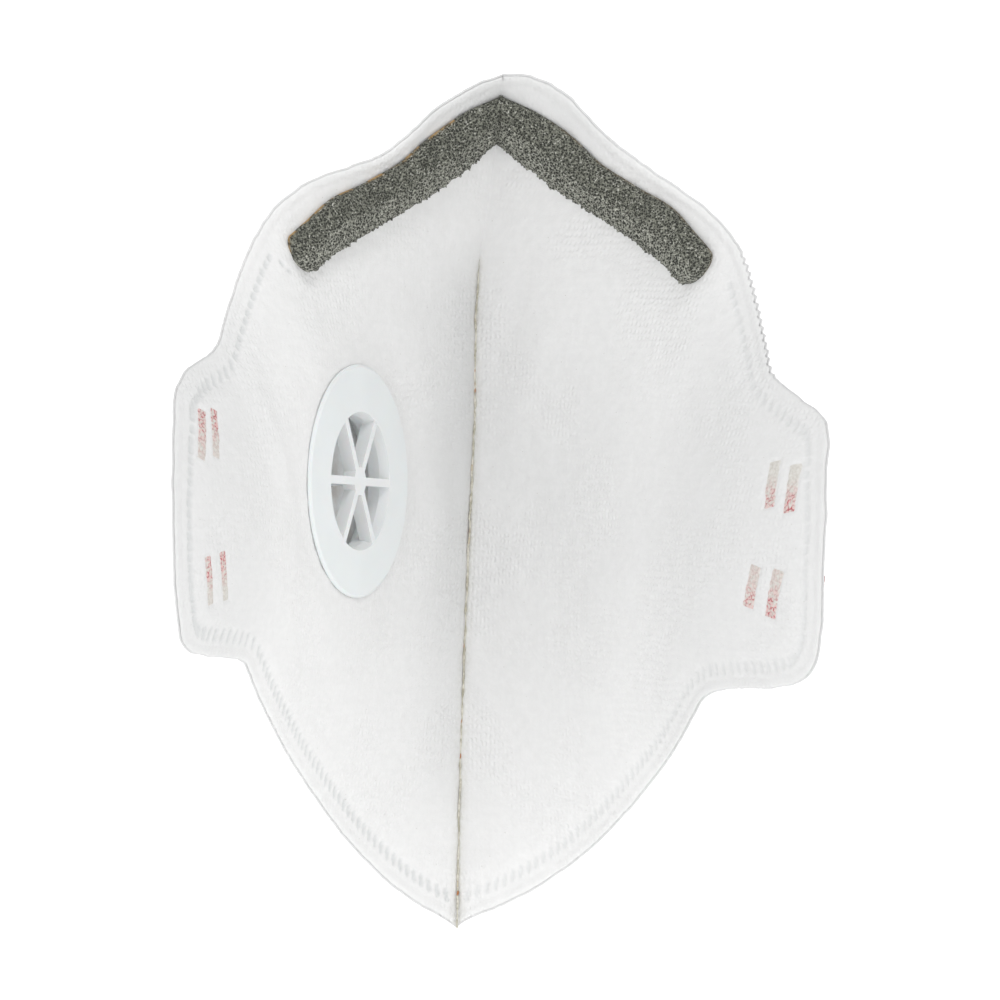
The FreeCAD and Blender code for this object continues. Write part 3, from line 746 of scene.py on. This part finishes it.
def cloth(name, outer, fine, coarse):
    """One sheet of a half, lining or cover, with its edge rolled towards the other."""
    side = SIDES[name]
    grow = 0.25 if outer else 0.0
    hole = VALVE_HOLE_R if side < 0 else 0.0
    path = EDGES[name]
    away = left_of(path)
    keep = path[:, 0] > 0.05
    path, away = path[keep], away[keep]
    rim = path + away * (grow - LIP_REACH)
    n = len(rim)
    pts = pattern_points(name, path, rim, grow, fine, coarse)
    if hole:
        pts = pts[np.hypot(pts[:, 0] - VALVE_S, pts[:, 1] - VALVE_Z) > hole + 0.4]
    ridge_z = np.arange(rim[-1, 1], rim[0, 1], 0.8)[1:]
    start = [tuple(p) for p in rim] + [(0.0, rim[-1, 1])] + [(0.0, z) for z in ridge_z]
    start += [(0.0, rim[0, 1])]
    flat, faces, where = triangulated(start, pts, hole)
    d, shade, lip = relief(name, outer, flat, distance_to(path, flat) + grow)

    row = np.array([where[i] for i in range(n)])
    sz, depth, tint, rows = [flat], [d], [shade], [row]
    at = len(flat)
    wobble = edge_wobble(name, path)
    for in_from_edge, step in lip:
        out = grow - in_from_edge + wobble * (1 - in_from_edge / LIP_REACH)
        sz.append(path + away * out[:, None])
        depth.append(d[row] + step)
        # the lip rows keep only the painted shade of the row they start from
        tint.append(np.stack([np.zeros(n), np.zeros(n), shade[row, 2]], 1))
        rows.append(np.arange(at, at + n))
        at += n
    for a, b in zip(rows, rows[1:]):
        faces += [[a[i], a[i + 1], b[i + 1], b[i]] for i in range(n - 1)]
    sz = np.vstack(sz)
    where3 = lifted(side, sz[:, 0], sz[:, 1], np.concatenate(depth))
    ob = add_mesh(name + ("_outer_cloth" if outer else "_inner_cloth"), where3, faces,
                  COVER if outer else LINING, uv=sz, tint=np.vstack(tint))
    face_all(ob, outer)
    across_fold(ob)
    return ob


def face_all(ob, outer):
    """Turn the faces so that they look away from the laminate."""
    me = ob.data
    normal = np.zeros(len(me.polygons) * 3)
    me.polygons.foreach_get("normal", normal)
    normal = normal.reshape(-1, 3)
    size = np.zeros(len(me.polygons))
    me.polygons.foreach_get("area", size)
    total = (normal * size[:, None]).sum(0)
    wanted = 1.0 if outer else -1.0   # the cover faces forward, the lining back
    if total[1] * wanted < 0:
        me.flip_normals()


for name in SIDES:
    inner = cloth(name, outer=False, fine=0.36, coarse=0.95)
    outer = cloth(name, outer=True, fine=0.50, coarse=1.10)
    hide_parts(name + "_inner_lining", name + "_filter_inner", name + "_filter_outer")
    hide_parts(name + "_outer_cover", name + "_support_layer", name + "_edge_weld")

# ------------------------------------------------------------ strap weld bars
def weld_bar(name, side, k):
    """Points, pattern places and tints of one fused bar, a dented strip on the lining."""
    top, low, red_top, red_low = BARS[name][k]
    top, low = np.array(top), np.array(low)
    axis = low - top
    length = np.linalg.norm(axis)
    axis = axis / length
    cross = np.array([axis[1], -axis[0]])
    down = np.linspace(0, 1, BAR_ROWS)
    a, b = np.meshgrid(down, np.linspace(-1, 1, BAR_COLS), indexing="ij")
    half = BAR_WIDTH[name][k] / 2
    ragged = 1.0 + 0.13 * grain(np.stack([a * length, np.sign(b) + 3 * k], -1), 0.9, 17 + k)
    pts = top + (a * length)[..., None] * axis + (b * ragged * half)[..., None] * cross
    pts = pts.reshape(-1, 2)
    rim = np.maximum(np.abs(b) ** 3, np.abs(2 * a - 1) ** 24)
    cellular = np.cos(b * math.pi * 1.5) * np.cos(a * length * math.pi / 0.62)
    d = lining_depth(name, pts, distance_to(EDGES[name], pts))
    d = d + (0.19 + 0.12 * rim - 0.05 * cellular * (1 - rim)).ravel()
    uv = np.stack([b.ravel() * half + 7 * k, a.ravel() * length], 1)
    share = red_top + (red_low - red_top) * smoothstep(0.25, 0.85, a)
    edge = smoothstep(0.72, 1.0, np.abs(b)) * 0.75
    edge = np.maximum(edge, smoothstep(0.94, 1.0, np.abs(2 * a - 1)) * 0.8)
    tint = np.stack([edge.ravel(), share.ravel(), np.zeros(len(pts))], 1)
    return lifted(side, pts[:, 0], pts[:, 1], d), uv, tint


def weld_bars(name, side):
    count = len(BARS[name])
    verts, uvs, tints = zip(*(weld_bar(name, side, k) for k in range(count)))
    faces = []
    for k in range(count):
        faces += quads(BAR_ROWS, BAR_COLS, base=k * BAR_ROWS * BAR_COLS)
    bars = add_mesh(name + "_weld_bars", np.vstack(verts), faces, BAR,
                    uv=np.vstack(uvs), tint=np.vstack(tints))
    face_all(bars, False)
    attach(bars, name + "_half")
    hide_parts(name + "_headband_welds")


for name, side in SIDES.items():
    weld_bars(name, side)


# ------------------------------------------------------------------ nose foam
FOAM_STEP, FOAM_COLS = 0.26, 56
FOAM_WIDE, FOAM_THICK = 7.3, 3.2


def foam_section(travel):
    """Unit section of the pad, and how far across and out it reaches at each step."""
    turn = np.linspace(0, 2 * math.pi, FOAM_COLS, endpoint=False)
    v, h = np.cos(turn), np.sin(turn)
    v = np.sign(v) * np.abs(v) ** 0.58
    h = np.where(h > 0, np.abs(h) ** 0.66, -np.abs(h) ** 0.5 * 0.06)
    left_over = travel[-1] - travel
    round_end = np.sqrt(np.clip(1 - (1 - np.clip(left_over / 2.6, 0, 1)) ** 2, 0.02, 1))
    across = v[None, :] * (FOAM_WIDE / 2) * round_end[:, None]
    out = h[None, :] * FOAM_THICK * (0.55 + 0.45 * round_end[:, None])
    out = out * (1.0 - 0.22 * smoothstep(0.0, 0.9, v)[None, :])
    pinch = 1.0 - 0.12 * np.exp(-travel ** 2)
    out = out * pinch[:, None]
    lumps = 0.35 * grain(np.stack([travel, travel * 0], 1), 9.0, 21)[:, None]
    return v, h, across + lumps * v[None, :], out


def foam_half(name, side):
    """Half of the pad, from the ridge to its round end: points, faces and tint."""
    line = through(FOAM_LINES[name], FOAM_STEP)
    line = line[line[:, 0] > -0.45]
    rows, cols = len(line), FOAM_COLS
    travel = np.arange(rows) * FOAM_STEP
    v, h, across, out = foam_section(travel)
    square = smoothstep(0.0, 7.0, travel)[:, None]
    way = left_of(line) * square + np.array([0.0, 1.0]) * (1 - square)
    sz = (line[:, None, :] + way[:, None, :] * across[..., None]).reshape(-1, 2)
    p = lifted(side, np.maximum(sz[:, 0], -0.35), sz[:, 1], -out.ravel() - 0.02)

    rough = 0.24 * grain(p, 0.60, 31) + 0.16 * grain(p, 0.36, 37)
    lower = smoothstep(0.2, 0.95, -v)[None, :] * np.ones((rows, 1))
    fuzz = 0.75 * np.maximum(grain(p, 0.42, 41) - 0.15, 0) * lower.ravel()
    centre = lifted(side, np.repeat(line[:, 0], cols), np.repeat(line[:, 1], cols),
                    np.full(len(p), -FOAM_THICK * 0.4))
    ray = p - centre
    ray /= np.linalg.norm(ray, axis=1, keepdims=True) + 1e-9
    p = p + ray * (rough + fuzz)[:, None] * (out.ravel() > 0.05)[:, None]
    p[:, 0] = side * np.maximum(side * p[:, 0], -1.2)

    glue = (smoothstep(0.9, 0.97, v) * (1 - smoothstep(0.02, 0.28, h)))[None, :]
    glue = glue * (travel > 10)[:, None] * (0.15 if side > 0 else 1.0)
    # painted shade: the upper band of the pad darker
    painted_shade_band = (smoothstep(-0.15, 0.30, v)[None, :] * np.ones((rows, 1))).ravel()
    tint = np.stack([glue.ravel(), np.zeros(rows * cols), painted_shade_band], 1)

    faces = quads(rows, cols, closed=True)
    first, last = rows * cols, rows * cols + 1
    for j in range(cols):
        k = (j + 1) % cols
        faces.append([first, k, j])
        faces.append([last, (rows - 1) * cols + j, (rows - 1) * cols + k])
    if side > 0:
        faces = [f[::-1] for f in faces]
    p = np.vstack([p, p[:cols].mean(0), p[-cols:].mean(0)])
    return p, faces, np.vstack([tint, np.zeros((2, 3))])


def nose_foam():
    verts, faces, tints = np.zeros((0, 3)), [], np.zeros((0, 3))
    for name, side in SIDES.items():
        points, half, tint = foam_half(name, side)
        faces += [[len(verts) + i for i in f] for f in half]
        verts = np.vstack([verts, points])
        tints = np.vstack([tints, tint])
    ob = add_mesh("nose_foam_pad", verts, faces, FOAM, tint=tints)
    across_fold(ob)
    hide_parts("nose_foam")


nose_foam()


# ------------------------------------------------------------------ nose clip
def bar_section(width, thick, count=6):
    """Rounded rectangle, (across, out) points."""
    r = thick * 0.45
    pts = []
    for cx, cy, a0 in ((width / 2 - r, thick / 2 - r, 0), (-width / 2 + r, thick / 2 - r, 90),
                       (-width / 2 + r, -thick / 2 + r, 180), (width / 2 - r, -thick / 2 + r, 270)):
        for k in range(count):
            a = math.radians(a0 + 90.0 * k / (count - 1))
            pts.append((cx + r * math.cos(a), cy + r * math.sin(a)))
    return np.array(pts)


CLIP_WIDTH, CLIP_THICK, CLIP_LIFT, CLIP_STEP = 5.0, 0.9, 0.55, 0.5


def nose_clip():
    """Metal strip on the cover, square to the ridge where it is folded."""
    section = bar_section(CLIP_WIDTH, CLIP_THICK)
    line = through(CLIP_LINE, CLIP_STEP)
    line = line[line[:, 0] > 0.3]
    halves = []
    for side in SIDES.values():
        square = smoothstep(0.0, 6.0, line[:, 0])[:, None]
        way = left_of(line) * square + np.array([0.0, 1.0]) * (1 - square)
        to_end = np.clip(np.arange(len(line))[::-1] * CLIP_STEP / 1.6, 0, 1)
        taper = np.sqrt(np.clip(1 - (1 - to_end) ** 2, 0.05, 1))
        ring = []
        for (s, z), (ws, wz), k in zip(line, way, taper):
            across = section[:, 0] * k
            out = LAMINATE + CLIP_LIFT + section[:, 1]
            ring.append(lifted(side, s + ws * across, z + wz * across, out))
        halves.append(ring[::-1] if side < 0 else ring)
    rings = halves[0] + halves[1]
    faces = capped_tube(len(rings), len(section))
    ob = add_mesh("nose_clip_strip", np.vstack(rings), faces, METAL)
    across_fold(ob)
    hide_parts("nose_clip")


nose_clip()

# ------------------------------------------------------------------ headbands
BAND_WIDTH, BAND_THICK, BAND_GAP = 6.8, 0.8, 0.2
SEAM_OUTER, SEAM_FIN = 1.6, 3.6


def strap_profile(side, end):
    """Route of the strap over one half: back from the ridge, out from the lining."""
    lie = LAMINATE + BAND_GAP + BAND_THICK / 2
    run = [(end, lie), (93.0, lie), (87.0, lie + 0.2)]
    if side < 0:
        run += [(80.0, lie + 1.4), (71.0, lie + 4.2), (VALVE_S + 23.0, COVER_TOP - 0.6),
                (VALVE_S + 18.0, COVER_TOP + 1.1), (VALVE_S + 6.0, COVER_TOP + 1.4),
                (VALVE_S - 6.0, COVER_TOP + 1.4), (VALVE_S - 17.0, COVER_TOP + 1.1),
                (VALVE_S - 23.0, COVER_TOP - 1.4)]
    else:
        run += [(78.0, lie + 0.7), (66.0, lie + 0.9), (54.0, lie + 0.8),
                (42.0, lie + 0.5), (30.0, lie + 0.6), (18.0, lie + 1.0), (10.0, lie + 1.9)]
    return through(run, 0.45)


def ribbed_section():
    """Section of the strap, close points on its two faces, with shallow ribs."""
    section = bar_section(BAND_WIDTH, BAND_THICK * 0.92, 4)
    dense = []
    for a, b in zip(section, np.roll(section, -1, 0)):
        count = 24 if abs(a[0] - b[0]) > 2 else 1
        dense += [a + (b - a) * k / count for k in range(count)]
    section = np.array(dense)
    ribs = 0.05 * np.cos(section[:, 0] * 2 * math.pi / RIB_PITCH) * np.sign(section[:, 1])
    ribs[np.abs(section[:, 0]) > BAND_WIDTH / 2 - 0.5] = 0
    return section + np.stack([np.zeros(len(section)), ribs], 1)


def strap_half(side, height, centre, end, section):
    """Rings of the strap from its cut end on the tab to beside the ridge."""
    run = strap_profile(side, end)
    g = np.gradient(run, axis=0)
    g /= np.linalg.norm(g, axis=1, keepdims=True)
    step = np.stack([-g[:, 1], g[:, 0]], 1)
    z = centre + (height - centre) * np.clip(run[:, 0] / 80.0, 0, 1)
    across, out = section[:, 0], section[:, 1]
    return [lifted(side, s + ns * out, h + across, d + nd * out)
            for (s, d), (ns, nd), h in zip(run, step, z)]


def headband(name, heights, cut_ends):
    """Strap from tab to tab round the front, passing clear of the seam fin."""
    section = ribbed_section()
    centre = sum(heights) / 2.0
    left, right = (strap_half(side, height, centre, end, section)
                   for side, height, end in zip((-1, 1), heights, cut_ends))
    front = float(ridge_y(np.array(centre))) + SEAM_OUTER / math.sin(math.radians(ANGLE_RIDGE))
    front = front + SEAM_FIN + BAND_THICK / 2 + 0.9
    middle = np.stack([np.zeros(len(section)), front - section[:, 1], centre + section[:, 0]], 1)
    steps = np.linspace(0, 1, 16)[1:-1]
    rings = left + [left[-1] * (1 - t) + middle * t for t in steps] + [middle]
    rings += [middle * (1 - t) + right[-1] * t for t in steps] + right[::-1]
    rings = np.array(rings)
    lo, hi = len(left) - 6, len(left) + 35   # from one half to the other
    for _ in range(14):                      # round off the bends beside the ridge
        rings[lo:hi] = 0.5 * rings[lo:hi] + 0.25 * (rings[lo - 1:hi - 1] + rings[lo + 1:hi + 1])
    m = len(section)
    spine = rings.mean(1)
    travel = np.concatenate([[0], np.cumsum(np.linalg.norm(np.diff(spine, axis=0), axis=1))])
    uv = np.stack([np.repeat(travel, m), np.tile(section[:, 0], len(rings))], 1)
    faces = capped_tube(len(rings), m)
    ob = add_mesh(name + "_strap", rings.reshape(-1, 3), faces, BAND, uv=uv)
    across_fold(ob)
    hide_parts(name)


headband("upper_headband", heights=(8.4, 4.3), cut_ends=(95.9, 97.7))
headband("lower_headband", heights=(-15.9, -13.5), cut_ends=(97.6, 103.2))


# ----------------------------------------------------------------- seam weld
def centre_seam_line():
    """Thin melted line in the crease."""
    verts = []
    z = np.arange(-78.2, SEAM_TOP - 2.0, 0.30)
    along = np.stack([z, z * 0], 1)
    wander = 0.10 * grain(along, 3.0, 51) + 0.08 * grain(along, 0.8, 52)
    girth = 0.15 + 0.07 * grain(along, 0.9, 53)
    girth = girth * (1 - smoothstep(SEAM_TOP - 8, SEAM_TOP - 2, z)) + 0.03
    sway = surface(1, np.zeros(len(z)), z)
    cols = 8
    turn = np.linspace(0, 2 * math.pi, cols, endpoint=False)
    for k in range(len(z)):
        for t in turn:
            verts.append((sway[k, 0] + wander[k] + girth[k] * math.cos(t),
                          sway[k, 1] + 0.02 + girth[k] * math.sin(t) * 1.6, z[k]))
    line = add_mesh("centre_seam_line", verts, quads(len(z), cols, closed=True), SEAM)
    across_fold(line)


def centre_seam_fin():
    """Trimmed weld fin standing out in front of the ridge, with pressed rungs."""
    z = np.arange(-77.6, SEAM_TOP, 0.35)
    back = ridge_y(z) + 0.6
    top = SEAM_OUTER / math.sin(math.radians(ANGLE_RIDGE)) + SEAM_FIN
    wavy = 0.12 * grain(np.stack([z, z * 0], 1), 1.5, 61)
    front = ridge_y(z) + top + wavy - 1.2 * smoothstep(SEAM_TOP - 5, SEAM_TOP, z) ** 2
    cols = 26
    rows = []
    for k in range(len(z)):
        v = np.concatenate([np.linspace(0, 1, cols // 2), np.linspace(1, 0, cols // 2)])
        sgn = np.concatenate([np.ones(cols // 2), -np.ones(cols // 2)])
        half = 0.58 * (1 - 0.35 * smoothstep(0.85, 1.0, v)) * np.where(v >= 1, 0.45, 1.0)
        rung = 0.5 + 0.5 * math.cos(z[k] * 2 * math.pi / 1.8)
        half = half - 0.20 * smoothstep(0.5, 0.8, rung) * ((v > 0.35) & (v < 0.85))
        rows.append(np.stack([sgn * half + surface(1, np.zeros(1), z[k:k + 1])[0, 0],
                              back[k] + (front[k] - back[k]) * v, np.full(cols, z[k])], 1))
    faces = quads(len(z), cols, closed=True)
    faces.append(list(range(cols)))
    faces.append([(len(z) - 1) * cols + j for j in range(cols)][::-1])
    verts = np.vstack(rows)
    fin = add_mesh("centre_seam_fin", verts, faces, COVER,
                   uv=verts[:, 1:3], tint=np.zeros((len(verts), 3)))
    across_fold(fin)
    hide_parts("centre_seam")


centre_seam_line()
centre_seam_fin()

# --------------------------------------------- valve: CAD nodes, new materials
for node, mat in (("valve_inner_flange", PLASTIC), ("valve_body", PLASTIC),
                  ("valve_cover", COVER_PLASTIC), ("valve_pin", PLASTIC),
                  ("valve_diaphragm", RUBBER)):
    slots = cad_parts[node].data.materials
    slots.clear()
    slots.append(mat)


# -------------------------------------------------------------------- studio
def backdrop():
    """White floor that curves up into a wall behind the mask."""
    low, reach, flat_to, radius, top = -84.0, 9000, 900, 700, 2600
    curve = [(-reach, low)]
    for a in np.radians(np.linspace(0, 90, 13)):
        curve.append((flat_to + radius * math.sin(a), low + radius * (1 - math.cos(a))))
    curve.append((flat_to + radius, top))
    verts = [(x, y, z) for x in (-reach, reach) for y, z in curve]
    n = Nodes("backdrop")
    mottle = n.noise(n.object_space(), 3.0, 2.0)
    color = n.blend(mottle, (0.95, 0.95, 0.95), (0.96, 0.96, 0.96))
    mat = n.finish(color, 0.9)
    n.shader.inputs["Emission Color"].default_value = (1, 1, 1, 1)
    n.shader.inputs["Emission Strength"].default_value = 0.35
    k = len(curve)
    faces = [(i, k + i, k + i + 1, i + 1) for i in range(k - 1)]
    add_mesh("backdrop", verts, faces, mat)


backdrop()
world = bpy.data.worlds.new("studio")
bpy.context.scene.world = world
world.use_nodes = True
world.node_tree.nodes["Background"].inputs["Color"].default_value = (1, 1, 1, 1)
world.node_tree.nodes["Background"].inputs["Strength"].default_value = 0.72


def lamp(name, at, size, power):
    """Round area light, in metres and watts, aimed at the origin."""
    light = bpy.data.lights.new(name, "AREA")
    light.shape = "DISK"
    light.size = size
    light.energy = power
    ob = bpy.data.objects.new(name, light)
    bpy.context.scene.collection.objects.link(ob)
    ob.location = at
    ob.rotation_euler = (-Vector(at)).to_track_quat("-Z", "Y").to_euler()


lamp("key", at=(0.30, -1.05, 1.20), size=0.55, power=5.9)
lamp("fill", at=(-1.3, -0.9, 0.3), size=1.0, power=2.2)

lens = bpy.data.cameras.new("camera")
camera = bpy.data.objects.new("camera", lens)
bpy.context.scene.collection.objects.link(camera)
bpy.context.scene.camera = camera
lens.sensor_width = 36.0
lens.lens = 153.6
lens.clip_start, lens.clip_end = 0.05, 20
back = Vector((-0.0668, -0.9977, -0.0109)).normalized()
right = Vector((0.9965, -0.0672, 0.0491)).normalized()
turned = Matrix((right, back.cross(right), back)).transposed().to_4x4()
camera.matrix_world = Matrix.Translation((-0.0481, -0.7582, -0.0083)) @ turned
bpy.context.scene.view_settings.view_transform = "Standard"
